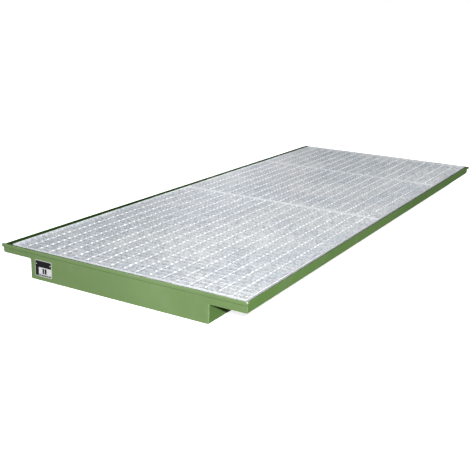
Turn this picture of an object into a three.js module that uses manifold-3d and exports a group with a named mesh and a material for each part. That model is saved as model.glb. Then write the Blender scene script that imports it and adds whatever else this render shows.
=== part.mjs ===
// Low spill containment pallet for a pallet rack bay: a welded sheet steel sump whose two long
// flanges lie on the rack beams, with three loose galvanised gratings as its load surface.
// Millimetres. X runs across the short side, Y along the long side, Z is up.
import * as THREE from "three";
import { mergeVertices } from "three/addons/utils/BufferGeometryUtils.js";
import Module from "manifold-3d";

// Tray
const trayWidth = 1300;
const trayLength = 3280;
const rimTop = 134;
const sheet = 3;
const leftFlange = 170;
const rightFlange = 176;
const leftRimBottom = 95;
const rightRimBottom = 86.5;
const bendRadius = 2;
const rimBendRadius = 0.4;
const weldGap = 0.3;

// Rims: an upright strip on the left, a channel on the right and a channel on each short side
const leftRimThickness = 4;
const rightRimLedge = 10;
const endRimLedge = 13;
const endRimHeight = 16;
const endRimOverhang = 11;

// Gratings
const gratingTop = 135;
const gratingDepth = 35;
const barThickness = 3;
const barPitch = 38.1;
const rodPitch = 68.6;
const rodSize = 5;
const rodsEachSide = 8;
const panelLengths = [1474, 1019, 737];
const panelGap = 4;
const leftGratingGap = 33;
const rightGratingGap = 6;
const frontGratingGap = 9;
const smallestEndSpace = 12;
const flushStep = 0.5;

// Supports inside the sump
const angleLeg = 28;
const tieWidth = 60;
const tieDepth = 25;

// Rating plate
const plateWidth = 100;
const plateHeight = 78;
const plateThickness = 1;
const plateCorner = 5;
const plateInset = 24;
const plateBottom = 19.5;
const rivetRadius = 3.2;
const rivetHeight = 1.4;
const rivetEdge = 9;
const rivetDrop = 19;

// Derived places
const halfWidth = trayWidth / 2;
const halfLength = trayLength / 2;
const gratingBottom = gratingTop - gratingDepth;
const shelfTop = gratingBottom - weldGap;
const shelfBottom = shelfTop - sheet;
const leftWall = -halfWidth + leftFlange;
const rightWall = halfWidth - rightFlange;
const endRimBottom = rimTop - endRimHeight;
const innerEnd = halfLength - sheet - weldGap;
const gratingLeft = -halfWidth + leftRimThickness + leftGratingGap;
const gratingRight = halfWidth - rightRimLedge - rightGratingGap;
const gratingFront = -halfLength + endRimLedge + frontGratingGap;
const plateProud = weldGap + plateThickness + weldGap + rivetHeight;

const paint = { color: 0x7f9f63, roughness: 0.42, metalness: 0.0 };
const zinc = { color: 0xc3c8cc, roughness: 0.45, metalness: 0.85 };
const printedFoil = { color: 0x2a2b2c, roughness: 0.4, metalness: 0.1 };
const bareRivet = { color: 0xd5d7d8, roughness: 0.3, metalness: 0.9 };

const wasm = await Module();
wasm.setup();

function solidOf(geometry) {
  const bare = geometry.index ? geometry.toNonIndexed() : geometry.clone();
  bare.deleteAttribute("normal");
  bare.deleteAttribute("uv");
  const merged = mergeVertices(bare, 1e-4);
  const mesh = new wasm.Mesh({
    numProp: 3,
    vertProperties: merged.attributes.position.array,
    triVerts: new Uint32Array(merged.index.array),
  });
  return new wasm.Manifold(mesh);
}

function geometryOf(solid) {
  const mesh = solid.getMesh();
  const geometry = new THREE.BufferGeometry();
  geometry.setAttribute("position", new THREE.BufferAttribute(mesh.vertProperties, 3));
  geometry.setIndex(new THREE.BufferAttribute(mesh.triVerts, 1));
  geometry.computeVertexNormals();
  return geometry;
}

function join(geometries) {
  return geometryOf(geometries.map(solidOf).reduce((whole, next) => whole.add(next)));
}

function cut(geometry, tools) {
  return geometryOf(tools.map(solidOf).reduce((whole, tool) => whole.subtract(tool), solidOf(geometry)));
}

function box(x, y, z) {
  const geometry = new THREE.BoxGeometry(x[1] - x[0], y[1] - y[0], z[1] - z[0]);
  return geometry.translate((x[0] + x[1]) / 2, (y[0] + y[1]) / 2, (z[0] + z[1]) / 2);
}

// Closed outline from corners [u, v, radius]; a corner with a radius becomes a true arc.
function outline(corners) {
  const shape = new THREE.Shape();
  corners.forEach(([u, v, radius], i) => {
    const corner = new THREE.Vector2(u, v);
    const before = corners[(i + corners.length - 1) % corners.length];
    const after = corners[(i + 1) % corners.length];
    const back = new THREE.Vector2(before[0], before[1]).sub(corner).normalize();
    const ahead = new THREE.Vector2(after[0], after[1]).sub(corner).normalize();
    const half = Math.acos(THREE.MathUtils.clamp(back.dot(ahead), -1, 1)) / 2;
    const start = corner.clone().addScaledVector(back, radius / Math.tan(half));
    const end = corner.clone().addScaledVector(ahead, radius / Math.tan(half));
    const middle = back.clone().add(ahead).normalize();
    const centre = corner.clone().addScaledVector(middle, radius / Math.sin(half));
    if (i === 0) shape.moveTo(start.x, start.y);
    else shape.lineTo(start.x, start.y);
    if (radius > 0) {
      const from = Math.atan2(start.y - centre.y, start.x - centre.x);
      const to = Math.atan2(end.y - centre.y, end.x - centre.x);
      shape.absarc(centre.x, centre.y, radius, from, to, back.cross(ahead) > 0);
    }
  });
  shape.closePath();
  return shape;
}

// Outline of a sheet folded at right angles: its outer face follows the line, and the sheet lies to
// the line's right.
function foldedSheet(line, radius) {
  const last = line.length - 1;
  const heading = (i) => {
    const start = THREE.MathUtils.clamp(i, 0, last - 1);
    const [from, to] = [line[start], line[start + 1]];
    return new THREE.Vector2(to[0] - from[0], to[1] - from[1]).normalize();
  };
  const isBend = (i) => i > 0 && i < last;
  const turnsRight = (i) => isBend(i) && heading(i - 1).cross(heading(i)) < 0;
  const outer = line.map(([u, v], i) => {
    const bend = radius + (turnsRight(i) ? sheet : 0);
    return [u, v, isBend(i) ? bend : 0];
  });
  const inner = line.map(([u, v], i) => {
    const across = isBend(i) ? heading(i - 1).add(heading(i)) : heading(i);
    const bend = radius + (turnsRight(i) ? 0 : sheet);
    return [u + across.y * sheet, v - across.x * sheet, isBend(i) ? bend : 0];
  });
  return outline([...outer, ...inner.reverse()]);
}

// The outline's u, v become X, Z and the extrusion runs along Y.
function alongY(shape, front, back) {
  const geometry = new THREE.ExtrudeGeometry(shape, {
    depth: back - front,
    bevelEnabled: false,
    curveSegments: 6,
  });
  return geometry.rotateX(Math.PI / 2).translate(0, back, 0);
}

// The outline's u, v become Y, Z and the extrusion runs along X.
function alongX(shape, left, right) {
  const geometry = new THREE.ExtrudeGeometry(shape, {
    depth: right - left,
    bevelEnabled: false,
    curveSegments: 6,
  });
  const turn = new THREE.Matrix4().makeBasis(
    new THREE.Vector3(0, 1, 0),
    new THREE.Vector3(0, 0, 1),
    new THREE.Vector3(1, 0, 0),
  );
  return geometry.applyMatrix4(turn).translate(left, 0, 0);
}

function sumpFloor() {
  const gap = sheet + weldGap;
  return box([leftWall + gap, rightWall - gap], [-innerEnd, innerEnd], [0, sheet]);
}

// Sump wall and the flange that lies on the rack beam, folded from one sheet.
function leftWallAndFlange() {
  const edge = -halfWidth + leftRimThickness + weldGap;
  const line = [[leftWall, 0], [leftWall, shelfBottom], [edge, shelfBottom]];
  return alongY(foldedSheet(line, bendRadius), -innerEnd, innerEnd);
}

function rightWallAndFlange() {
  const edge = halfWidth - sheet - weldGap;
  const line = [[edge, shelfBottom], [rightWall, shelfBottom], [rightWall, 0]];
  return alongY(foldedSheet(line, bendRadius), -innerEnd, innerEnd);
}

// Room for the end rims where they cross a long rim.
function endRimSlots() {
  const across = [-trayWidth, trayWidth];
  const inner = halfLength - endRimLedge - weldGap;
  const height = [endRimBottom - weldGap, trayLength];
  return [
    box(across, [-trayLength, -inner], height),
    box(across, [inner, trayLength], height),
  ];
}

// Upright strip along the left flange's edge.
function leftRim() {
  const across = [-halfWidth, -halfWidth + leftRimThickness];
  const strip = box(across, [-innerEnd, innerEnd], [leftRimBottom, rimTop]);
  return cut(strip, endRimSlots());
}

// Channel along the right flange's edge, open underneath, with a deeper outer leg.
function rightRim() {
  const inner = halfWidth - rightRimLedge;
  const line = [[inner, gratingBottom], [inner, rimTop], [halfWidth, rimTop], [halfWidth, rightRimBottom]];
  return cut(alongY(foldedSheet(line, rimBendRadius), -innerEnd, innerEnd), endRimSlots());
}

// End plate: closes the sump and reaches out over both flanges. The left notch has a wide fillet.
function endPlate() {
  const top = endRimBottom - weldGap;
  return outline([
    [leftWall, 0, 4],
    [rightWall, 0, 4],
    [rightWall, rightRimBottom, 1.5],
    [halfWidth, rightRimBottom, 4],
    [halfWidth, top, 0],
    [-halfWidth, top, 0],
    [-halfWidth, leftRimBottom, 6],
    [leftWall, leftRimBottom, 13],
  ]);
}

// Channel along a short side: a closed cap at each end and an inner leg down to the flange level.
// The front one overhangs the left corner, the rear one the right corner.
function endRim(end) {
  const [leftOverhang, rightOverhang] = end < 0 ? [endRimOverhang, 0] : [0, endRimOverhang];
  const across = [-halfWidth - leftOverhang, halfWidth + rightOverhang];
  const outer = end * halfLength;
  const inner = end * (halfLength - endRimLedge);
  const span = (a, b) => [Math.min(a, b), Math.max(a, b)];
  const edge = sheet + rimBendRadius;
  const section = outline([
    [outer, endRimBottom, 0],
    [inner, endRimBottom, 0],
    [inner, rimTop, edge],
    [outer, rimTop, edge],
  ]);
  const hollow = box(
    [across[0] + sheet, across[1] - sheet],
    span(outer - end * sheet, inner + end * sheet),
    [endRimBottom - sheet, rimTop - sheet],
  );
  const leg = box(
    [-halfWidth + leftRimThickness + weldGap, halfWidth - rightRimLedge - weldGap],
    span(inner, inner + end * sheet),
    [gratingBottom, endRimBottom + sheet],
  );
  return join([cut(alongX(section, across[0], across[1]), [hollow]), leg]);
}

// Angle under the grating's end, welded to the inside of the end plate.
function supportAngle(end) {
  const face = end * innerEnd;
  const line = [[face, shelfTop - angleLeg], [face, shelfTop], [face - end * angleLeg, shelfTop]];
  const gap = sheet + weldGap;
  const ordered = end < 0 ? line : line.reverse();
  return alongX(foldedSheet(ordered, bendRadius), leftWall + gap, rightWall - gap);
}

// Channel under the joint of two gratings; it also holds the two walls apart.
function crossTie(centre) {
  const front = centre - tieWidth / 2;
  const back = centre + tieWidth / 2;
  const line = [
    [front, shelfTop - tieDepth],
    [front, shelfTop],
    [back, shelfTop],
    [back, shelfTop - tieDepth],
  ];
  const gap = sheet + weldGap;
  return alongX(foldedSheet(line, bendRadius), leftWall + gap, rightWall - gap);
}

// Bearing bars welded between two banding bars. The bars stop under the rods that cross them.
function bearingBars(front, length) {
  const back = front + length;
  const full = [gratingBottom, gratingTop];
  const underRods = [gratingBottom + flushStep, gratingTop - flushStep - rodSize - weldGap];
  const pieces = [
    box([gratingLeft, gratingLeft + barThickness], [front, back], full),
    box([gratingRight - barThickness, gratingRight], [front, back], full),
  ];
  const inside = [gratingLeft + barThickness / 2, gratingRight - barThickness / 2];
  for (let y = front + barPitch; y < back - barThickness - smallestEndSpace; y += barPitch) {
    pieces.push(box(inside, [y, y + barThickness], underRods));
  }
  return join(pieces);
}

// Cross rods that end in the panel's first and last bearing bar.
function crossRods(front, length) {
  const back = front + length;
  const full = [gratingBottom, gratingTop];
  const gap = barThickness + weldGap;
  const across = [gratingLeft + gap, gratingRight - gap];
  const pieces = [
    box(across, [front, front + barThickness], full),
    box(across, [back - barThickness, back], full),
  ];
  const middle = (gratingLeft + gratingRight) / 2;
  const along = [front + barThickness / 2, back - barThickness / 2];
  const height = [gratingTop - flushStep - rodSize, gratingTop - flushStep];
  for (let i = -rodsEachSide; i <= rodsEachSide; i++) {
    const x = middle + i * rodPitch;
    pieces.push(box([x - rodSize / 2, x + rodSize / 2], along, height));
  }
  return join(pieces);
}

function ratingPlate() {
  const left = leftWall + plateInset;
  const right = left + plateWidth;
  const top = plateBottom + plateHeight;
  const shape = outline([
    [left, plateBottom, plateCorner],
    [right, plateBottom, plateCorner],
    [right, top, plateCorner],
    [left, top, plateCorner],
  ]);
  const back = -halfLength - weldGap;
  return alongY(shape, back - plateThickness, back);
}

function rivetHead() {
  const profile = [
    new THREE.Vector2(0, 0),
    new THREE.Vector2(rivetRadius, 0),
    new THREE.Vector2(rivetRadius * 0.85, rivetHeight * 0.6),
    new THREE.Vector2(rivetRadius * 0.5, rivetHeight * 0.92),
    new THREE.Vector2(0, rivetHeight),
  ];
  return new THREE.LatheGeometry(profile, 16).rotateX(Math.PI);
}

const pallet = new THREE.Group();

function add(name, geometry, finish) {
  const mesh = new THREE.Mesh(geometry, new THREE.MeshStandardMaterial(finish));
  mesh.name = name;
  pallet.add(mesh);
  return mesh;
}

add("sump_floor", sumpFloor(), paint);
add("left_wall_flange", leftWallAndFlange(), paint);
add("right_wall_flange", rightWallAndFlange(), paint);
add("front_end_plate", alongY(endPlate(), -halfLength, -halfLength + sheet), paint);
add("rear_end_plate", alongY(endPlate(), halfLength - sheet, halfLength), paint);
add("left_rim", leftRim(), paint);
add("right_rim", rightRim(), paint);
add("front_rim", endRim(-1), paint);
add("rear_rim", endRim(1), paint);
add("front_support_angle", supportAngle(-1), paint);
add("rear_support_angle", supportAngle(1), paint);

let panelFront = gratingFront;
panelLengths.forEach((length, i) => {
  add("grating_" + (i + 1) + "_bearing_bars", bearingBars(panelFront, length), zinc);
  add("grating_" + (i + 1) + "_cross_rods", crossRods(panelFront, length), zinc);
  panelFront += length;
  if (i < panelLengths.length - 1) {
    add("cross_tie_" + (i + 1), crossTie(panelFront + panelGap / 2), paint);
  }
  panelFront += panelGap;
});

add("rating_plate", ratingPlate(), printedFoil);
[["left", rivetEdge], ["right", plateWidth - rivetEdge]].forEach(([side, x]) => {
  const rivet = add("rating_plate_rivet_" + side, rivetHead(), bareRivet);
  const face = -halfLength - weldGap - plateThickness - weldGap;
  rivet.position.set(leftWall + plateInset + x, face, plateBottom + plateHeight - rivetDrop);
});

// The plate and its rivets stand proud of the front, so the box's middle is moved to the origin.
pallet.position.y = plateProud / 2;

export default pallet;
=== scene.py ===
import math

import bmesh
import bpy
from mathutils import Matrix, Vector


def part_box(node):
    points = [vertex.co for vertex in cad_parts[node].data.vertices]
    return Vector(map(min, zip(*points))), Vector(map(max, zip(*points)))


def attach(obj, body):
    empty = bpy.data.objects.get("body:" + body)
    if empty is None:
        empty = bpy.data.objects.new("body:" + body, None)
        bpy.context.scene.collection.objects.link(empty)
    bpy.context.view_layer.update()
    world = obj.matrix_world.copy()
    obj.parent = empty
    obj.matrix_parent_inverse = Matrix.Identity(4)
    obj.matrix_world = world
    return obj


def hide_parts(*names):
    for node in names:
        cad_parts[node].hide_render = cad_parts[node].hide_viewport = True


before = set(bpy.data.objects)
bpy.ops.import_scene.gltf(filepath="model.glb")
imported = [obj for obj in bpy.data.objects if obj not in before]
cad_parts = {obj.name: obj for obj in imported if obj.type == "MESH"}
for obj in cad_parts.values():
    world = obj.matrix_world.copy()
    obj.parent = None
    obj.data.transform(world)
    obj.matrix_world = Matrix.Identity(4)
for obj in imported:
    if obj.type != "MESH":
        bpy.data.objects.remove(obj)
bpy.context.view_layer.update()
print("frame loaded")

mm = 0.001

# Small helpers for node trees


def wire(tree, source, target):
    tree.links.new(source, target)


# A socket takes another socket's value through a wire, or a fixed value of its own
def feed(tree, socket, value):
    if isinstance(value, bpy.types.NodeSocket):
        wire(tree, value, socket)
    else:
        socket.default_value = value


def addNode(tree, kind, settings=None, **sockets):
    made = tree.nodes.new(kind)
    for name, value in (settings or {}).items():
        setattr(made, name, value)
    for name, value in sockets.items():
        feed(tree, made.inputs[name.replace("_", " ")], value)
    return made


def mathNode(tree, operation, *values):
    made = addNode(tree, "ShaderNodeMath", {"operation": operation})
    for socket, value in zip(made.inputs, values):
        feed(tree, socket, value)
    return made.outputs[0]


def vectorNode(tree, operation, *values):
    made = addNode(tree, "ShaderNodeVectorMath", {"operation": operation})
    for socket, value in zip(made.inputs, values):
        feed(tree, socket, value)
    return made


def scaled(tree, vector, amount):
    made = addNode(tree, "ShaderNodeVectorMath", {"operation": "SCALE"}, Vector=vector, Scale=amount)
    return made.outputs["Vector"]


def combine(tree, x, y, z):
    made = addNode(tree, "ShaderNodeCombineXYZ")
    for socket, value in zip(made.inputs, (x, y, z)):
        feed(tree, socket, value)
    return made.outputs[0]


def split(tree, vector):
    return addNode(tree, "ShaderNodeSeparateXYZ", Vector=vector).outputs


def grey(level):
    return (level, level, level)


def ramp(tree, value, levels, colours):
    made = addNode(tree, "ShaderNodeValToRGB", Fac=value)
    elements = made.color_ramp.elements
    while len(elements) < len(levels):
        elements.new(0.5)
    for element, level, colour in zip(elements, levels, colours):
        element.position = level
        element.color = (*colour, 1)
    return made.outputs["Color"]


def mixColour(tree, amount, first, second, blend="MIX"):
    made = addNode(tree, "ShaderNodeMix", {"data_type": "RGBA", "blend_type": blend})
    for index, value in ((0, amount), (6, first), (7, second)):  # the factor and the two colours
        feed(tree, made.inputs[index], (*value, 1) if isinstance(value, tuple) else value)
    return made.outputs[2]


# 1 up to the first value, fading to 0 at the second
def fadeOut(tree, value, first, second):
    made = addNode(tree, "ShaderNodeMapRange", Value=value, From_Min=first, From_Max=second,
                   To_Min=1.0, To_Max=0.0)
    return made.outputs["Result"]


# Small helpers for objects


def objectOf(name, data):
    made = bpy.data.objects.new(name, data)
    bpy.context.scene.collection.objects.link(made)
    return made


def meshOf(name, points, edges=(), faces=()):
    mesh = bpy.data.meshes.new(name)
    mesh.from_pydata(points, edges, faces)
    return mesh


def cornersOf(node):
    low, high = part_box(node)
    return Vector(low), Vector(high)


# Turns what the modifiers make into a plain mesh on the same object
def bakeModifiers(piece):
    evaluated = piece.evaluated_get(bpy.context.evaluated_depsgraph_get())
    plain = bpy.data.meshes.new_from_object(evaluated)
    old = piece.data
    piece.modifiers.clear()
    piece.data = plain
    plain.name = piece.name
    bpy.data.meshes.remove(old)
    return piece


# Camera: an orbit about a point on the tray's top
cameraView = {
    "target": (0.0948, -0.7762, 0.1),
    "distance": 4.1036,
    "azimuth": 29.56,
    "elevation": 16.63,
    "roll": 1.96,
    "lens": 61.48,
    "sensor": 36.0,
    "farthest": 1000.0,
}


def makeCamera():
    azimuth = math.radians(cameraView["azimuth"])
    elevation = math.radians(cameraView["elevation"])
    back = Vector((
        math.sin(azimuth) * math.cos(elevation),
        -math.cos(azimuth) * math.cos(elevation),
        math.sin(elevation),
    ))
    lens = bpy.data.cameras.new("camera")
    lens.lens = cameraView["lens"]
    lens.sensor_width = cameraView["sensor"]
    lens.clip_end = cameraView["farthest"]
    camera = objectOf("camera", lens)
    camera.rotation_mode = "QUATERNION"
    camera.location = Vector(cameraView["target"]) + back * cameraView["distance"]
    aim = (-back).to_track_quat("-Z", "Y")
    roll = Matrix.Rotation(math.radians(cameraView["roll"]), 4, "Z").to_quaternion()
    camera.rotation_quaternion = aim @ roll
    bpy.context.scene.camera = camera


studio = {
    "floorSize": 600.0,
    "floorDrop": 0.5 * mm,
    "floorColour": grey(0.86),
    "floorRoughness": 0.9,
    "floorSpecular": 0.1,
    "floorGlow": 0.78,
    "backdrop": grey(1.0),
    "skyOverhead": 0.72,
    "skyLow": 0.32,
    "skyBelow": 0.03,
    "skyFull": 0.9,  # the height, from 0 to 1, where the sky is as bright as overhead
}

lamps = {
    "keyLight": {"place": (2.95, -5.35, 2.25), "aim": (0.3, -1.2, 0.1), "size": 0.2, "power": 575.0},
    "fillLight": {"place": (5.5, 1.8, 2.3), "aim": (0.3, 0.6, 0.1), "size": 0.8, "power": 70.0},
    "backLight": {"place": (-3.8, 5.6, 2.1), "aim": (0.0, 0.4, 0.1), "size": 1.6, "power": 330.0},
}


# A white paper floor that throws no light back up, so the spaces under the flanges stay dark
def makeFloor():
    half = studio["floorSize"] / 2
    corners = [(-half, -half, 0), (half, -half, 0), (half, half, 0), (-half, half, 0)]
    floor = objectOf("floor", meshOf("floor", corners, faces=[(0, 1, 2, 3)]))
    floor.location.z = -studio["floorDrop"]
    floor.visible_diffuse = False
    floor.visible_glossy = False
    finish = bpy.data.materials.new("floorPaper")
    finish.use_nodes = True
    shader = finish.node_tree.nodes["Principled BSDF"]
    shader.inputs["Base Color"].default_value = (*studio["floorColour"], 1)
    shader.inputs["Roughness"].default_value = studio["floorRoughness"]
    shader.inputs["Specular IOR Level"].default_value = studio["floorSpecular"]
    shader.inputs["Emission Color"].default_value = (1, 1, 1, 1)
    shader.inputs["Emission Strength"].default_value = studio["floorGlow"]
    floor.data.materials.append(finish)


# Bright overhead, softer near the horizon and dim from below; the backdrop itself looks white
def makeSky():
    sky = bpy.data.worlds.new("studioSky")
    sky.use_nodes = True
    tree = sky.node_tree
    height = split(tree, addNode(tree, "ShaderNodeTexCoord").outputs["Generated"])["Z"]
    shades = (grey(studio["skyLow"]), grey(studio["skyOverhead"]))
    shade = ramp(tree, height, (0.0, studio["skyFull"]), shades)
    above = mathNode(tree, "GREATER_THAN", height, 0.0)
    level = mixColour(tree, above, grey(studio["skyBelow"]), shade)
    seen = addNode(tree, "ShaderNodeLightPath").outputs["Is Camera Ray"]
    colour = mixColour(tree, seen, level, studio["backdrop"])
    wire(tree, colour, tree.nodes["Background"].inputs["Color"])
    bpy.context.scene.world = sky
    bpy.context.scene.view_settings.view_transform = "Standard"


def makeLamp(name, place, aim, size, power):
    lamp = bpy.data.lights.new(name, "AREA")
    lamp.shape = "DISK"
    lamp.size = size
    lamp.energy = power
    made = objectOf(name, lamp)
    made.location = place
    made.rotation_euler = (Vector(place) - Vector(aim)).to_track_quat("Z", "Y").to_euler()


makeCamera()
makeFloor()
makeSky()
for lampName, lampValues in lamps.items():
    makeLamp(lampName, **lampValues)
print("camera and studio ready")

# Materials: every pattern reads Object coordinates


def startMaterial(name):
    made = bpy.data.materials.new(name)
    made.use_nodes = True
    tree = made.node_tree
    shader = tree.nodes["Principled BSDF"]
    place = addNode(tree, "ShaderNodeTexCoord").outputs["Object"]
    return made, tree, shader, place


def noise(tree, place, size, detail, stretch=None):
    if stretch:
        place = addNode(tree, "ShaderNodeMapping", Vector=place, Scale=stretch).outputs["Vector"]
    return addNode(tree, "ShaderNodeTexNoise", Vector=place, Scale=size, Detail=detail).outputs["Fac"]


def bump(tree, height, relief):
    made = addNode(tree, "ShaderNodeBump", Height=height, Strength=relief["strength"],
                   Distance=relief["depth"])
    return made.outputs["Normal"]


# How strongly a noise pattern shows: not at all at its first level, and by its amount at the second
def strengthOf(tree, place, pattern):
    field = noise(tree, place, pattern["size"], pattern["detail"], pattern.get("stretch"))
    return ramp(tree, field, pattern["levels"], (grey(0.0), grey(pattern["amount"])))


# Green powder coat on the steel sheets
trayPaint = {
    "darker": (0.103, 0.165, 0.061),
    "colour": (0.113, 0.178, 0.069),
    "paler": (0.123, 0.190, 0.077),
    # Painted shading: a deeper green tint for the right side's copy of the paint
    "sideShadeTint": (0.90, 1.05, 0.77),
    "cloudSize": 2.3,
    "cloudDetail": 3,
    "cloudLevels": (0.35, 0.52, 0.72),
    "mottle": {"size": 38.0, "detail": 4, "levels": (0.30, 0.80), "amount": 0.35},
    "dust": {"size": 11.0, "detail": 6, "levels": (0.52, 0.85), "amount": 0.22},
    "dustColour": (0.24, 0.29, 0.20),
    "scratches": {
        "size": 60.0, "detail": 3, "levels": (0.73, 0.77), "amount": 0.35, "stretch": (0.6, 0.06, 9.0),
    },
    "glossSize": 14.0,
    "glossDetail": 5,
    "glossLevels": (0.30, 0.75),
    "glossSpread": (-0.06, 0.14),
    "peel": {"size": 900.0, "detail": 2, "strength": 0.35, "depth": 0.1 * mm},
    "waves": {"size": 55.0, "detail": 2, "strength": 0.25, "depth": 1.2 * mm},
    # Painted shade on the rims' ledge tops by the gratings: its colour, its reach from the opening, and how
    # far below the rim top it goes
    "gapShadeColour": (0.018, 0.036, 0.010),
    "gapShadeReach": (9.5 * mm, 12.0 * mm),
    "gapShadeDepth": 1.2 * mm,
}

# The paint is matt inside the sump; the right rim and right wall take a deeper green copy of the paint,
# painted shading for that side; the rim coats get painted shade on their ledges by the gratings
paintCoats = {
    "trayPaint": {"roughness": 0.40, "specular": 0.45, "gapShaded": False, "sideShaded": False},
    "rimPaint": {"roughness": 0.50, "specular": 0.22, "gapShaded": True, "sideShaded": False},
    "rightRimPaint": {"roughness": 0.50, "specular": 0.15, "gapShaded": True, "sideShaded": True},
    "rightWallPaint": {"roughness": 0.50, "specular": 0.15, "gapShaded": False, "sideShaded": True},
    "insidePaint": {"roughness": 0.90, "specular": 0.04, "gapShaded": False, "sideShaded": False},
}

# Painted highlight: a near-white spot on the front rim's right corner, for the glint on that corner
cornerHighlight = {
    "radius": 3.0 * mm,
    "fade": 1.5,
    "inset": 2.0 * mm,
    "colour": (0.93, 0.93, 0.90),
}


# Large clouds, small mottle, dust and scratches
def paintColour(tree, place, darker, middle, paler):
    clouds = noise(tree, place, trayPaint["cloudSize"], trayPaint["cloudDetail"])
    body = ramp(tree, clouds, trayPaint["cloudLevels"], (darker, middle, paler))
    mottled = mixColour(tree, strengthOf(tree, place, trayPaint["mottle"]), body, paler)
    dusty = mixColour(tree, strengthOf(tree, place, trayPaint["dust"]), mottled, trayPaint["dustColour"])
    return mixColour(tree, strengthOf(tree, place, trayPaint["scratches"]), dusty, paler)


def addCornerHighlight(tree, place, colour):
    rimLow, rimHigh = cornersOf("front_rim")
    inset = cornerHighlight["inset"]
    corner = (rimHigh.x, rimLow.y + inset, rimHigh.z - inset)
    reach = vectorNode(tree, "DISTANCE", place, corner).outputs["Value"]
    radius = cornerHighlight["radius"]
    glint = fadeOut(tree, reach, radius, radius * cornerHighlight["fade"])
    return mixColour(tree, glint, colour, cornerHighlight["colour"])


# How far a point lies outside the rectangle between the rims' inner edges, seen from above
def outsideOpening(tree, place):
    left, right = cornersOf("left_rim")[1].x, cornersOf("right_rim")[0].x
    front, rear = cornersOf("front_rim")[1].y, cornersOf("rear_rim")[0].y
    parts = split(tree, place)
    ways = []
    for axis, low, high in (("X", left, right), ("Y", front, rear)):
        offset = mathNode(tree, "ABSOLUTE", mathNode(tree, "SUBTRACT", parts[axis], (low + high) / 2))
        ways.append(mathNode(tree, "SUBTRACT", offset, (high - low) / 2))
    return mathNode(tree, "MAXIMUM", *ways)


# Painted shade: the rims' ledge tops fade to near black towards the gratings, on the top only, for the shade
# of the gap beside them
def addRimPaintedShade(tree, place, colour):
    reached = fadeOut(tree, outsideOpening(tree, place), *trayPaint["gapShadeReach"])
    ledge = cornersOf("front_rim")[1].z - trayPaint["gapShadeDepth"]
    onTop = mathNode(tree, "GREATER_THAN", split(tree, place)["Z"], ledge)
    return mixColour(tree, mathNode(tree, "MULTIPLY", reached, onTop), colour, trayPaint["gapShadeColour"])


def paintMaterial(name, coat):
    made, tree, shader, place = startMaterial(name)
    tint = trayPaint["sideShadeTint"] if coat["sideShaded"] else grey(1.0)
    shades = [tuple(c * t for c, t in zip(trayPaint[key], tint)) for key in ("darker", "colour", "paler")]
    # The near-white painted highlight on the front rim's corner goes in here
    colour = addCornerHighlight(tree, place, paintColour(tree, place, *shades))
    if coat["gapShaded"]:
        colour = addRimPaintedShade(tree, place, colour)
    wire(tree, colour, shader.inputs["Base Color"])
    field = noise(tree, place, trayPaint["glossSize"], trayPaint["glossDetail"])
    gloss = [grey(coat["roughness"] + spread) for spread in trayPaint["glossSpread"]]
    wire(tree, ramp(tree, field, trayPaint["glossLevels"], gloss), shader.inputs["Roughness"])
    shader.inputs["Specular IOR Level"].default_value = coat["specular"]
    peel, waves = trayPaint["peel"], trayPaint["waves"]
    fine = bump(tree, noise(tree, place, peel["size"], peel["detail"]), peel)
    broad = bump(tree, noise(tree, place, waves["size"], waves["detail"]), waves)
    wire(tree, fine, broad.node.inputs["Normal"])
    wire(tree, broad, shader.inputs["Normal"])
    return made


# Hot-dip zinc: flat crystals of mixed brightness, with cloudy bluish patches over the large surfaces
zincCoat = {
    "metallic": 0.25,
    "roughness": (0.34, 0.60),
    "spangleSize": 140.0,
    "bloom": {"size": 23.0, "detail": 5, "levels": (0.35, 0.75), "amount": 0.35},
    "patchSize": 3.2,
    "patchDetail": 5,
    "patchLevels": (0.42, 0.62),
    "patchTint": (0.80, 0.84, 0.89),
    "grain": {"size": 160.0, "detail": 4, "strength": 0.5, "depth": 0.3 * mm},
}

zincFinishes = {
    "zinc": {"bright": (0.495, 0.508, 0.523), "dull": (0.260, 0.273, 0.290), "patches": 0.7},
    # Painted highlight: the forged lumps and the banding and end bars get paler zinc than the bearing bars,
    # for their tops that catch the light
    "zincLumpHighlight": {"bright": (0.82, 0.83, 0.84), "dull": (0.58, 0.60, 0.62), "patches": 0.15},
    "zincFrameHighlight": {"bright": (0.56, 0.575, 0.59), "dull": (0.42, 0.435, 0.45), "patches": 0.3},
    "zincRod": {"bright": (0.56, 0.575, 0.59), "dull": (0.34, 0.355, 0.37), "patches": 0.4},
}


def zincMaterial(name, bright, dull, patches):
    made, tree, shader, place = startMaterial(name)
    cells = addNode(tree, "ShaderNodeTexVoronoi", Vector=place, Scale=zincCoat["spangleSize"])
    shade = addNode(tree, "ShaderNodeSeparateColor", Color=cells.outputs["Color"])
    spangle = ramp(tree, shade.outputs["Red"], (0.0, 1.0), (dull, bright))
    bloomed = mixColour(tree, strengthOf(tree, place, zincCoat["bloom"]), spangle, bright)
    clouds = noise(tree, place, zincCoat["patchSize"], zincCoat["patchDetail"])
    patchy = ramp(tree, clouds, zincCoat["patchLevels"], (grey(patches), grey(0.0)))
    tinted = mixColour(tree, patchy, bloomed, zincCoat["patchTint"], "MULTIPLY")
    wire(tree, tinted, shader.inputs["Base Color"])
    shader.inputs["Metallic"].default_value = zincCoat["metallic"]
    smoothest, roughest = zincCoat["roughness"]
    gloss = ramp(tree, shade.outputs["Green"], (0.0, 1.0), (grey(smoothest), grey(roughest)))
    wire(tree, gloss, shader.inputs["Roughness"])
    grain = zincCoat["grain"]
    rough = bump(tree, noise(tree, place, grain["size"], grain["detail"]), grain)
    wire(tree, rough, shader.inputs["Normal"])
    return made


# Plain finishes, with fine specks only
speckles = {
    "detail": 3,
    "darker": 0.82,
    "levels": (0.30, 0.70),
    "roughLevels": (0.30, 0.80),
    "rougher": 0.12,
    "strength": 0.2,
    "depth": 0.1 * mm,
}

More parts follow.
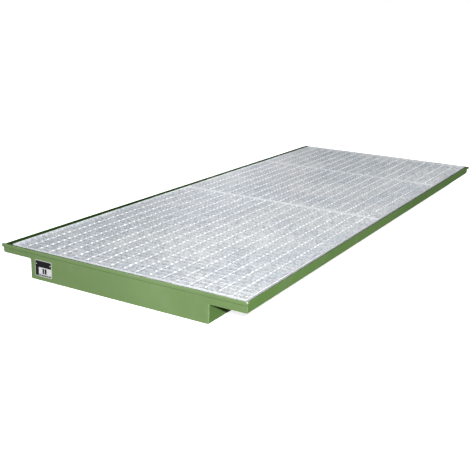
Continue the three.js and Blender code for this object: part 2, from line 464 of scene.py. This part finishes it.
plainFinishes = {
    # Painted highlight: the paler green on the sheets' eased edges
    "edgeHighlightPaint": {"colour": (0.190, 0.270, 0.130), "roughness": 0.35, "grain": 60.0},
    # Painted shade: near-black paint on the rims' faces towards the gratings
    "gapShadePaint": {"colour": (0.014, 0.038, 0.006), "roughness": 0.90, "grain": 14.0, "specular": 0.05},
    "seamPaint": {"colour": (0.080, 0.127, 0.049), "roughness": 0.60, "grain": 14.0, "specular": 0.2},
    "plateMetal": {"colour": (0.50, 0.51, 0.50), "roughness": 0.35, "metallic": 0.3},
    "plateInk": {"colour": (0.010, 0.010, 0.012), "roughness": 0.60, "specular": 0.15},
    "platePale": {"colour": (0.50, 0.50, 0.52), "roughness": 0.50},
    "rivetMetal": {"colour": (0.85, 0.86, 0.88), "roughness": 0.25, "metallic": 0.8},
}


def plainMaterial(name, colour, roughness, metallic=0.0, grain=240.0, specular=0.5):
    made, tree, shader, place = startMaterial(name)
    spots = noise(tree, place, grain, speckles["detail"])
    darker = tuple(c * speckles["darker"] for c in colour)
    body = ramp(tree, spots, speckles["levels"], (darker, colour))
    wire(tree, body, shader.inputs["Base Color"])
    gloss = (grey(roughness), grey(roughness + speckles["rougher"]))
    wire(tree, ramp(tree, spots, speckles["roughLevels"], gloss), shader.inputs["Roughness"])
    shader.inputs["Metallic"].default_value = metallic
    shader.inputs["Specular IOR Level"].default_value = specular
    wire(tree, bump(tree, spots, speckles), shader.inputs["Normal"])
    return made


finishes = {}
for finishName, finishValues in paintCoats.items():
    finishes[finishName] = paintMaterial(finishName, finishValues)
for finishName, finishValues in zincFinishes.items():
    finishes[finishName] = zincMaterial(finishName, **finishValues)
for finishName, finishValues in plainFinishes.items():
    finishes[finishName] = plainMaterial(finishName, **finishValues)
print("materials ready")

# Tray: each welded sheet keeps its CAD shape, and its edges are eased as under a thick coat of paint; the
# eased faces take a paler green, painted highlight on the edges.
# The side that faces the narrow channel beside the gratings takes near-black paint, painted shade for that
# channel.
traySheets = {
    "sump_floor": {"edge": 0.8 * mm, "coat": "insidePaint"},
    "left_wall_flange": {"edge": 0.9 * mm, "coat": "trayPaint"},
    "right_wall_flange": {"edge": 0.9 * mm, "coat": "rightWallPaint"},
    "front_end_plate": {"edge": 1.3 * mm, "coat": "trayPaint"},
    "rear_end_plate": {"edge": 1.3 * mm, "coat": "trayPaint"},
    "left_rim": {"edge": 1.0 * mm, "coat": "rimPaint", "shadedSide": (1, 0, 0)},
    "right_rim": {"edge": 1.0 * mm, "coat": "rightRimPaint", "shadedSide": (-1, 0, 0)},
    "front_rim": {"edge": 1.1 * mm, "coat": "rimPaint", "shadedSide": (0, 1, 0)},
    "rear_rim": {"edge": 1.1 * mm, "coat": "rimPaint", "shadedSide": (0, -1, 0)},
    "front_support_angle": {"edge": 0.8 * mm, "coat": "insidePaint"},
    "rear_support_angle": {"edge": 0.8 * mm, "coat": "insidePaint"},
    "cross_tie_1": {"edge": 0.8 * mm, "coat": "insidePaint"},
    "cross_tie_2": {"edge": 0.8 * mm, "coat": "insidePaint"},
}

easing = {
    "mergeReach": 0.02 * mm,
    "flatAngle": 0.4,  # degrees between faces that count as one
    "steps": 3,
    "sharpAngle": 40.0,  # degrees from which an edge is eased
    "weight": 100,
    "seamReach": 3.0 * mm,  # eased edges this near the seam under the end rims are dark
    "facing": 0.5,
}


# A merged copy of the CAD node's triangles, with its flat areas as whole faces
def mergedCopy(node):
    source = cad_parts[node].data
    points = [v.co.copy() for v in source.vertices]
    mesh = meshOf(node, points, faces=[tuple(p.vertices) for p in source.polygons])
    shell = bmesh.new()
    shell.from_mesh(mesh)
    bmesh.ops.remove_doubles(shell, verts=shell.verts, dist=easing["mergeReach"])
    flat = math.radians(easing["flatAngle"])
    bmesh.ops.dissolve_limit(shell, angle_limit=flat, verts=shell.verts, edges=shell.edges)
    shell.to_mesh(mesh)
    shell.free()
    mesh.shade_smooth()
    return mesh


def easeEdges(piece, width, highlightSlot):
    bevel = piece.modifiers.new("easedEdges", "BEVEL")
    bevel.width = width
    bevel.segments = easing["steps"]
    bevel.limit_method = "ANGLE"
    bevel.angle_limit = math.radians(easing["sharpAngle"])
    bevel.use_clamp_overlap = True
    # The bevel faces take the paler painted highlight
    bevel.material = highlightSlot
    weighted = piece.modifiers.new("flatFaces", "WEIGHTED_NORMAL")
    weighted.keep_sharp = True
    weighted.weight = easing["weight"]
    bakeModifiers(piece)


def makeSheet(node, edge, coat, shadedSide=None):
    piece = objectOf(node.replace("_", "-"), mergedCopy(node))
    for name in (coat, "gapShadePaint", "edgeHighlightPaint", "seamPaint"):
        piece.data.materials.append(finishes[name])
    gapShaded, edgeHighlight, dark = 1, 2, 3  # their places in that list
    easeEdges(piece, edge, edgeHighlight)
    seam = cornersOf("front_end_plate")[1].z
    for face in piece.data.polygons:
        if face.material_index == edgeHighlight and abs(face.center.z - seam) < easing["seamReach"]:
            face.material_index = dark
        # Faces towards the gratings get the near-black painted shade
        if shadedSide and face.normal.dot(Vector(shadedSide)) > easing["facing"]:
            face.material_index = gapShaded
    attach(piece, "tray")
    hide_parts(node)


for sheetNode, sheetValues in traySheets.items():
    makeSheet(sheetNode, **sheetValues)
print("tray sheets ready")

# Geometry Nodes trees for what repeats or follows a line


def startTree(name, inputs):
    tree = bpy.data.node_groups.new(name, "GeometryNodeTree")
    for label, kind in {"Geometry": "Geometry", **inputs, "Material": "Material"}.items():
        tree.interface.new_socket(label, in_out="INPUT", socket_type="NodeSocket" + kind)
    tree.interface.new_socket("Geometry", in_out="OUTPUT", socket_type="NodeSocketGeometry")
    return tree, addNode(tree, "NodeGroupInput").outputs


def finishTree(tree, entry, shape):
    solid = addNode(tree, "GeometryNodeRealizeInstances", Geometry=shape)
    finished = addNode(tree, "GeometryNodeSetMaterial", Geometry=solid.outputs["Geometry"],
                       Material=entry["Material"])
    wire(tree, finished.outputs["Geometry"], addNode(tree, "NodeGroupOutput").inputs["Geometry"])
    return tree


# A random number from 0 to 1 for each point
def randomAmount(tree, seed):
    return addNode(tree, "FunctionNodeRandomValue", {"data_type": "FLOAT"}, Seed=seed).outputs[1]


# A rectangle with eased corners, to be drawn along a line
def easedSection(tree, width, height, edge, steps):
    section = addNode(tree, "GeometryNodeCurvePrimitiveQuadrilateral", Width=width, Height=height)
    eased = addNode(tree, "GeometryNodeFilletCurve", {"mode": "POLY"}, Curve=section.outputs["Curve"],
                    Count=steps, Radius=edge)
    return eased.outputs["Curve"]


# A flat bar with eased edges, as long as it says along its own X, centred on its point
def flatBarTree():
    tree, entry = startTree("flatBars", {
        "Length": "Float", "Depth": "Float", "Thickness": "Float", "Edge": "Float", "Lean": "Float",
        "Turn": "Float", "Seed": "Int",
    })
    half = mathNode(tree, "MULTIPLY", entry["Length"], 0.5)
    start = combine(tree, mathNode(tree, "MULTIPLY", half, -1.0), 0.0, 0.0)
    line = addNode(tree, "GeometryNodeCurvePrimitiveLine", Start=start, End=combine(tree, half, 0.0, 0.0))
    section = easedSection(tree, entry["Thickness"], entry["Depth"], entry["Edge"], 2)
    bar = addNode(tree, "GeometryNodeCurveToMesh", Curve=line.outputs["Curve"], Profile_Curve=section,
                  Fill_Caps=True)
    centred = mathNode(tree, "SUBTRACT", randomAmount(tree, entry["Seed"]), 0.5)
    tilt = mathNode(tree, "MULTIPLY", centred, entry["Lean"])
    placed = addNode(tree, "GeometryNodeInstanceOnPoints", Points=entry["Geometry"],
                     Instance=bar.outputs["Mesh"], Rotation=combine(tree, tilt, 0.0, entry["Turn"]))
    return finishTree(tree, entry, placed.outputs["Instances"])


# Square rod twisted along its own Y, starting at its point
def twistedRodTree():
    tree, entry = startTree("twistedRods", {
        "Length": "Float", "Side": "Float", "Edge": "Float", "Twist Length": "Float", "Step": "Float",
        "Seed": "Int",
    })
    line = addNode(tree, "GeometryNodeCurvePrimitiveLine", End=combine(tree, 0.0, entry["Length"], 0.0))
    count = mathNode(tree, "DIVIDE", entry["Length"], entry["Step"])
    fine = addNode(tree, "GeometryNodeResampleCurve", {"mode": "COUNT"}, Curve=line.outputs["Curve"],
                   Count=count)
    along = addNode(tree, "GeometryNodeSplineParameter").outputs["Length"]
    turns = mathNode(tree, "DIVIDE", along, entry["Twist Length"])
    twist = mathNode(tree, "MULTIPLY", turns, math.tau)
    twisted = addNode(tree, "GeometryNodeSetCurveTilt", Curve=fine.outputs["Curve"], Tilt=twist)
    section = easedSection(tree, entry["Side"], entry["Side"], entry["Edge"], 1)
    rod = addNode(tree, "GeometryNodeCurveToMesh", Curve=twisted.outputs["Curve"], Profile_Curve=section,
                  Fill_Caps=True)
    spin = mathNode(tree, "MULTIPLY", randomAmount(tree, entry["Seed"]), math.tau)
    placed = addNode(tree, "GeometryNodeInstanceOnPoints", Points=entry["Geometry"],
                     Instance=rod.outputs["Mesh"], Rotation=combine(tree, 0.0, spin, 0.0))
    return finishTree(tree, entry, placed.outputs["Instances"])


# Lump of metal squeezed out where a rod is forged into a bar
def noduleTree():
    tree, entry = startTree("noduleLumps", {
        "Size": "Vector", "Variation": "Float", "Roughness": "Float", "Grain": "Float", "Seed": "Int",
    })
    ball = addNode(tree, "GeometryNodeMeshIcoSphere", Radius=0.5, Subdivisions=2)
    centred = mathNode(tree, "SUBTRACT", randomAmount(tree, entry["Seed"]), 0.5)
    swing = mathNode(tree, "MULTIPLY", centred, entry["Variation"])
    grown = scaled(tree, entry["Size"], mathNode(tree, "ADD", swing, 1.0))
    placed = addNode(tree, "GeometryNodeInstanceOnPoints", Points=entry["Geometry"],
                     Instance=ball.outputs["Mesh"], Scale=grown)
    real = addNode(tree, "GeometryNodeRealizeInstances", Geometry=placed.outputs["Instances"])
    grain = addNode(tree, "ShaderNodeTexNoise", Scale=entry["Grain"], Detail=2.0)
    way = vectorNode(tree, "SUBTRACT", grain.outputs["Color"], grey(0.5)).outputs["Vector"]
    push = scaled(tree, way, entry["Roughness"])
    rough = addNode(tree, "GeometryNodeSetPosition", Geometry=real.outputs["Geometry"], Offset=push)
    smooth = addNode(tree, "GeometryNodeSetShadeSmooth", Geometry=rough.outputs["Geometry"])
    return finishTree(tree, entry, smooth.outputs["Geometry"])


# Weld bead along a drawn line, with the ripples that a torch leaves
def weldBeadTree():
    tree, entry = startTree("weldBeads", {
        "Radius": "Float", "Ripple": "Float", "Ripple Length": "Float", "Step": "Float",
    })
    curve = addNode(tree, "GeometryNodeMeshToCurve", Mesh=entry["Geometry"])
    fine = addNode(tree, "GeometryNodeResampleCurve", {"mode": "LENGTH"}, Curve=curve.outputs["Curve"],
                   Length=entry["Step"])
    along = addNode(tree, "GeometryNodeSplineParameter").outputs["Length"]
    ripples = mathNode(tree, "DIVIDE", along, entry["Ripple Length"])
    wave = mathNode(tree, "SINE", mathNode(tree, "MULTIPLY", ripples, math.tau))
    swell = mathNode(tree, "ADD", 1.0, mathNode(tree, "MULTIPLY", wave, entry["Ripple"]))
    section = addNode(tree, "GeometryNodeCurvePrimitiveCircle", Resolution=8, Radius=1.0)
    bead = addNode(tree, "GeometryNodeCurveToMesh", Curve=fine.outputs["Curve"],
                   Profile_Curve=section.outputs["Curve"], Fill_Caps=True,
                   Scale=mathNode(tree, "MULTIPLY", entry["Radius"], swell))
    smooth = addNode(tree, "GeometryNodeSetShadeSmooth", Geometry=bead.outputs["Mesh"])
    return finishTree(tree, entry, smooth.outputs["Geometry"])


# Grows a tree's shapes from a mesh of points or lines, and keeps the result as a plain mesh
def growFrom(name, mesh, tree, values):
    piece = objectOf(name, mesh)
    modifier = piece.modifiers.new("grow", "NODES")
    modifier.node_group = tree
    for item in tree.interface.items_tree:
        if item.in_out == "INPUT" and item.name in values:
            modifier[item.identifier] = values[item.name]
    return bakeModifiers(piece)


flatBars = flatBarTree()
twistedRods = twistedRodTree()
noduleLumps = noduleTree()
weldBeads = weldBeadTree()
print("node trees ready")

# Gratings: bearing bars between banding bars, and twisted rods forged into the bars
grating = {
    "barPitch": 38.1 * mm,
    "barThickness": 3.0 * mm,
    "barEdge": 0.5 * mm,
    "barLean": 0.012,
    "bandTurn": math.pi / 2,
    "endBarGap": 0.3 * mm,
    "smallestEndSpace": 12.0 * mm,
    "topClearance": 1.6 * mm,
    "rodPitch": 68.6 * mm,
    "rodsEachSide": 8,
    "rodSide": 5.0 * mm,
    "rodEdge": 0.5 * mm,
    "rodTwist": 46.0 * mm,
    "rodStep": 3.2 * mm,
    "rodDrop": 3.7 * mm,
    "rodSeed": 10,
    "noduleSize": (9.6 * mm, 12.6 * mm, 6.4 * mm),
    "noduleDrop": 1.6 * mm,
    "noduleVariation": 0.30,
    "noduleRoughness": 1.2 * mm,
    "noduleGrain": 260.0,
    "noduleSeed": 20,
}


# Joins other pieces into the first one, with their own materials
def joinInto(target, others):
    whole = bmesh.new()
    materials = []
    for piece in [target, *others]:
        offset = len(materials)
        start = len(whole.faces)
        whole.from_mesh(piece.data)
        whole.faces.ensure_lookup_table()
        for face in whole.faces[start:]:
            face.material_index += offset
        materials.extend(piece.data.materials)
    mesh = bpy.data.meshes.new(target.name)
    whole.to_mesh(mesh)
    whole.free()
    for finish in materials:
        mesh.materials.append(finish)
    old = target.data
    target.data = mesh
    bpy.data.meshes.remove(old)
    for piece in others:
        data = piece.data
        bpy.data.objects.remove(piece)
        bpy.data.meshes.remove(data)


# Forging leaves the lumps flush: nothing stands above the walking surface
def clampTop(piece, top):
    for vertex in piece.data.vertices:
        vertex.co.z = min(vertex.co.z, top)


# Where the bearing bars stand between a panel's first and last bar
def barPlaces(low, high):
    thick = grating["barThickness"]
    last = high.y - thick - grating["smallestEndSpace"]
    places = []
    y = low.y + grating["barPitch"]
    while y < last:
        places.append(y + thick / 2)
        y += grating["barPitch"]
    return places


def rodPlaces(low, high):
    middle = (low.x + high.x) / 2
    side = grating["rodsEachSide"]
    return [middle + i * grating["rodPitch"] for i in range(-side, side + 1)]


# The outer bars of a panel reach the full height of the CAD box
def frameBars(name, number, points, depth, length, turn):
    return growFrom(name, meshOf(name, points), flatBars, {
        "Length": length, "Depth": depth, "Thickness": grating["barThickness"],
        "Edge": grating["barEdge"], "Lean": 0.0, "Turn": turn, "Seed": number,
        "Material": finishes["zincFrameHighlight"],
    })


def makeBars(number, barsNode):
    low, high = cornersOf(barsNode)
    thick = grating["barThickness"]
    top = high.z - grating["topClearance"]
    x, z = (low.x + high.x) / 2, (low.z + top) / 2
    centres = [(x, y, z) for y in barPlaces(low, high)]
    bars = growFrom(f"grating-{number}-bars", meshOf("bars", centres), flatBars, {
        "Length": high.x - low.x - 2 * thick, "Depth": top - low.z, "Thickness": thick,
        "Edge": grating["barEdge"], "Lean": grating["barLean"], "Turn": 0.0, "Seed": number,
        "Material": finishes["zinc"],
    })
    sides = (low.x + thick / 2, high.x - thick / 2)
    points = [(side, (low.y + high.y) / 2, (low.z + high.z) / 2) for side in sides]
    bands = frameBars("bands", number, points, high.z - low.z, high.y - low.y, grating["bandTurn"])
    joinInto(bars, [bands])
    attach(bars, f"grating_{number}")
    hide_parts(barsNode)


def makeRods(number, rodsNode, barsNode):
    low, high = cornersOf(barsNode)
    thick = grating["barThickness"]
    top = high.z - grating["topClearance"]
    across = rodPlaces(low, high)
    starts = [(x, low.y + thick / 2, top - grating["rodDrop"]) for x in across]
    rods = growFrom(f"grating-{number}-rods", meshOf("rods", starts), twistedRods, {
        "Length": high.y - low.y - thick, "Side": grating["rodSide"], "Edge": grating["rodEdge"],
        "Twist Length": grating["rodTwist"], "Step": grating["rodStep"],
        "Seed": grating["rodSeed"] + number, "Material": finishes["zincRod"],
    })
    x, z = (low.x + high.x) / 2, (low.z + high.z) / 2
    points = [(x, y, z) for y in (low.y + thick / 2, high.y - thick / 2)]
    between = high.x - low.x - 2 * thick - 2 * grating["endBarGap"]
    ends = frameBars("ends", number, points, high.z - low.z, between, 0.0)
    crossings = [(x, y, top - grating["noduleDrop"]) for x in across for y in barPlaces(low, high)]
    lumps = growFrom("lumps", meshOf("lumps", crossings), noduleLumps, {
        "Size": grating["noduleSize"], "Variation": grating["noduleVariation"],
        "Roughness": grating["noduleRoughness"], "Grain": grating["noduleGrain"],
        "Seed": grating["noduleSeed"] + number, "Material": finishes["zincLumpHighlight"],
    })
    clampTop(lumps, high.z)
    joinInto(rods, [ends, lumps])
    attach(rods, f"grating_{number}")
    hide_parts(rodsNode)


for panelNumber in (1, 2, 3):
    panelBars = f"grating_{panelNumber}_bearing_bars"
    makeBars(panelNumber, panelBars)
    makeRods(panelNumber, f"grating_{panelNumber}_cross_rods", panelBars)
print("gratings ready")

# Welds between the tray's sheets
welds = {
    "sheet": 3.0 * mm,
    "weldGap": 0.3 * mm,
    "sink": 0.6 * mm,
    "footRise": 4.0 * mm,
    "headroom": 1.0 * mm,
    "endGap": 3.0 * mm,
    "fillet": {"radius": 2.6 * mm, "ripple": 0.12, "rippleLength": 5.0 * mm, "step": 1.6 * mm},
    "seam": {"radius": 0.9 * mm, "ripple": 0.05, "rippleLength": 9.0 * mm, "step": 3.0 * mm},
    "seamInset": 2.0 * mm,
    "seamDepth": 1.5 * mm,
}


def lineMesh(name, lines):
    points = [point for line in lines for point in line]
    edges = [(2 * i, 2 * i + 1) for i in range(len(lines))]
    return meshOf(name, points, edges)


def makeBeads(name, lines, bead, finish):
    beads = growFrom(name, lineMesh("lines", lines), weldBeads, {
        "Radius": bead["radius"], "Ripple": bead["ripple"], "Ripple Length": bead["rippleLength"],
        "Step": bead["step"], "Material": finishes[finish],
    })
    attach(beads, "tray")


# Around the sump floor and up its four corners
def sumpLines(left, right, front, rear, shelf):
    sink = welds["sink"]
    foot = cornersOf("sump_floor")[1].z + sink
    xs = (left + sink, right - sink)
    ys = (front + sink, rear - sink)
    along = [[(x, ys[0], foot), (x, ys[1], foot)] for x in xs]
    across = [[(xs[0], y, foot), (xs[1], y, foot)] for y in ys]
    upright = [[(x, y, foot), (x, y, shelf - welds["headroom"])] for x in xs for y in ys]
    return along + across + upright


# Behind the end plates: up the outside of each wall, and along under each flange
def flangeLines(left, right, front, rear, shelf):
    sink, sheet, rise, gap = welds["sink"], welds["sheet"], welds["footRise"], welds["endGap"]
    leftEdge = cornersOf("left_wall_flange")[0].x + gap
    rightEdge = cornersOf("right_wall_flange")[1].x - gap
    lines = []
    for y in (front + sink, rear - sink):
        for wall, way, edge in ((right + sheet, 1, rightEdge), (left - sheet, -1, leftEdge)):
            x = wall + way * sink
            lines.append([(x, y, rise), (x, y, shelf - gap)])
            lines.append([(wall + way * rise, y, shelf - sink), (edge, y, shelf - sink)])
    return lines


# Shallow seams between the end plates and the rims above them
def seamLines():
    frontLow, frontHigh = cornersOf("front_end_plate")
    rearLow, rearHigh = cornersOf("rear_end_plate")
    inset, depth = welds["seamInset"], welds["seamDepth"]
    z = frontHigh.z + welds["weldGap"] / 2
    front, rear = frontLow.y + depth, rearHigh.y - depth
    return [
        [(frontLow.x + inset, front, z), (frontHigh.x - inset, front, z)],
        [(rearLow.x + inset, rear, z), (rearHigh.x - inset, rear, z)],
    ]


def makeWelds():
    floorLow, floorHigh = cornersOf("sump_floor")
    left, right = floorLow.x - welds["weldGap"], floorHigh.x + welds["weldGap"]
    front, rear = cornersOf("front_end_plate")[1].y, cornersOf("rear_end_plate")[0].y
    shelf = cornersOf("left_wall_flange")[1].z - welds["sheet"]
    sump = sumpLines(left, right, front, rear, shelf)
    makeBeads("sump-weld-beads", sump, welds["fillet"], "trayPaint")
    flanges = flangeLines(left, right, front, rear, shelf)
    makeBeads("flange-weld-beads", flanges, welds["fillet"], "trayPaint")
    makeBeads("rim-seam-welds", seamLines(), welds["seam"], "seamPaint")


makeWelds()
print("welds ready")

# Rating plate: a pale metal plate with dark printed fields and blank boxes
ratingPlate = {
    "corner": 5.0 * mm,
    "edge": 0.25 * mm,
    "border": 3.5 * mm,
    "printProud": 0.12 * mm,
    "printSunk": 0.30 * mm,
    "printEdge": 0.04 * mm,
    "bandShare": 0.42,
    "bandCorner": 2.0 * mm,
    "columnShare": 0.20,
    "columnOverlap": 0.5 * mm,
    "boxCorner": 0.6 * mm,
    "boxGap": 1.2 * mm,
    "boxRise": 9.0 * mm,
    "valueStarts": {"left": 23.0 * mm, "right": 36.0 * mm},
    "valueEnds": {"left": 33.0 * mm, "right": 47.0 * mm},
    "valueRise": 12.0 * mm,
    "valueDrop": 4.0 * mm,
    "valueCorner": 0.8 * mm,
    "valueProud": 0.05 * mm,
    "marks": 5,
    "markStart": 3.0 * mm,
    "markPitch": 14.5 * mm,
    "markWidth": 10.5 * mm,
    "markBottom": 1.0 * mm,
    "markTop": 6.5 * mm,
    "markCorner": 0.5 * mm,
}

slabCorner = {"steps": 4, "edgeSteps": 2, "sharpAngle": 60.0}


# A flat plate that faces the front, with round corners and eased edges; x, y and z are low and high
def roundedSlab(name, x, y, z, radius, edge, finish):
    slab = bmesh.new()
    corners = [
        (x[1] - radius, z[1] - radius, 0), (x[0] + radius, z[1] - radius, 90),
        (x[0] + radius, z[0] + radius, 180), (x[1] - radius, z[0] + radius, 270),
    ]
    steps = slabCorner["steps"]
    ring = []
    for cx, cz, start in corners:
        for step in range(steps + 1):
            angle = math.radians(start + step * 90 / steps)
            ring.append(slab.verts.new((cx + radius * math.cos(angle), y[0], cz + radius * math.sin(angle))))
    grown = bmesh.ops.extrude_face_region(slab, geom=[slab.faces.new(ring)])
    for vert in (v for v in grown["geom"] if isinstance(v, bmesh.types.BMVert)):
        vert.co.y = y[1]
    bmesh.ops.recalc_face_normals(slab, faces=slab.faces)
    sharp = math.radians(slabCorner["sharpAngle"])
    rims = [e for e in slab.edges if abs(e.calc_face_angle(0)) > sharp]
    bmesh.ops.bevel(slab, geom=rims, offset=edge, segments=slabCorner["edgeSteps"], affect="EDGES",
                    profile=0.5)
    mesh = bpy.data.meshes.new(name)
    slab.to_mesh(mesh)
    slab.free()
    mesh.materials.append(finishes[finish])
    return objectOf(name, mesh)


# A printed field stands a hair proud of the plate
def makeField(name, x, z, radius, finish, proud=0.0):
    face = cornersOf("rating_plate")[0].y
    y = (face - ratingPlate["printProud"] - proud, face + ratingPlate["printSunk"])
    piece = roundedSlab(name, x, y, z, radius, ratingPlate["printEdge"], finish)
    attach(piece, "tray")


def makeRatingPlate():
    low, high = cornersOf("rating_plate")
    base = roundedSlab("rating-plate", (low.x, high.x), (low.y, high.y), (low.z, high.z),
                       ratingPlate["corner"], ratingPlate["edge"], "plateMetal")
    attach(base, "tray")
    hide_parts("rating_plate")


def makePrint():
    low, high = cornersOf("rating_plate")
    border = ratingPlate["border"]
    left, right = low.x + border, high.x - border
    bottom, top = low.z + border, high.z - border
    bandBottom = top - (top - bottom) * ratingPlate["bandShare"]
    column = left + (right - left) * ratingPlate["columnShare"]
    makeField("plate-band", (left, right), (bandBottom, top), ratingPlate["bandCorner"], "plateInk")
    columnTop = bandBottom + ratingPlate["columnOverlap"]
    corner = ratingPlate["boxCorner"]
    makeField("plate-column", (left, column), (bottom, columnTop), corner, "plateInk")
    gap = ratingPlate["boxGap"]
    boxHeight = (bottom + ratingPlate["boxRise"], bandBottom - gap)
    makeField("plate-value-box", (column + gap, right), boxHeight, corner, "platePale")
    valueHeight = (bottom + ratingPlate["valueRise"], bandBottom - ratingPlate["valueDrop"])
    for side in ("left", "right"):
        width = (column + ratingPlate["valueStarts"][side], column + ratingPlate["valueEnds"][side])
        makeField("plate-value-" + side, width, valueHeight, ratingPlate["valueCorner"], "plateInk",
                  ratingPlate["valueProud"])
    markHeight = (bottom + ratingPlate["markBottom"], bottom + ratingPlate["markTop"])
    for i in range(ratingPlate["marks"]):
        start = column + ratingPlate["markStart"] + i * ratingPlate["markPitch"]
        width = (start, start + ratingPlate["markWidth"])
        makeField(f"plate-mark-{i + 1}", width, markHeight, ratingPlate["markCorner"], "plateInk")


# Blind rivets that hold the plate: a low domed head with a small pit in its middle
rivet = {
    "rings": 8,
    "around": 32,
    "fullness": 0.8,
    "pitRim": 0.28,
    "pitFloor": 0.20,
    "pitStart": 0.02 * mm,
    "pitDepth": 0.5 * mm,
}


def makeRivet(node):
    low, high = cornersOf(node)
    centre = (low + high) / 2
    radius = (high.x - low.x) / 2
    rings = [(radius, high.y)]
    for i in range(1, rivet["rings"]):
        angle = math.radians(90 * i / rivet["rings"])
        ring = radius * math.cos(angle) ** rivet["fullness"]
        rings.append((ring, high.y - (high.y - low.y) * math.sin(angle)))
    rings.append((radius * rivet["pitRim"], low.y + rivet["pitStart"]))
    rings.append((radius * rivet["pitFloor"], low.y + rivet["pitDepth"]))
    head = bmesh.new()
    turns = [math.tau * k / rivet["around"] for k in range(rivet["around"])]
    circles = []
    for r, y in rings:
        points = [(centre.x + r * math.cos(turn), y, centre.z + r * math.sin(turn)) for turn in turns]
        circles.append([head.verts.new(point) for point in points])
    for outer, inner in zip(circles, circles[1:]):
        for k in range(rivet["around"]):
            after = (k + 1) % rivet["around"]
            head.faces.new((outer[k], outer[after], inner[after], inner[k]))
    head.faces.new(circles[0])
    head.faces.new(circles[-1])
    bmesh.ops.recalc_face_normals(head, faces=head.faces)
    mesh = bpy.data.meshes.new(node)
    head.to_mesh(mesh)
    head.free()
    mesh.shade_smooth()
    mesh.materials.append(finishes["rivetMetal"])
    piece = objectOf(node.replace("_", "-"), mesh)
    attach(piece, "tray")
    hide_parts(node)


makeRatingPlate()
makePrint()
for rivetSide in ("left", "right"):
    makeRivet("rating_plate_rivet_" + rivetSide)
print("rating plate ready")
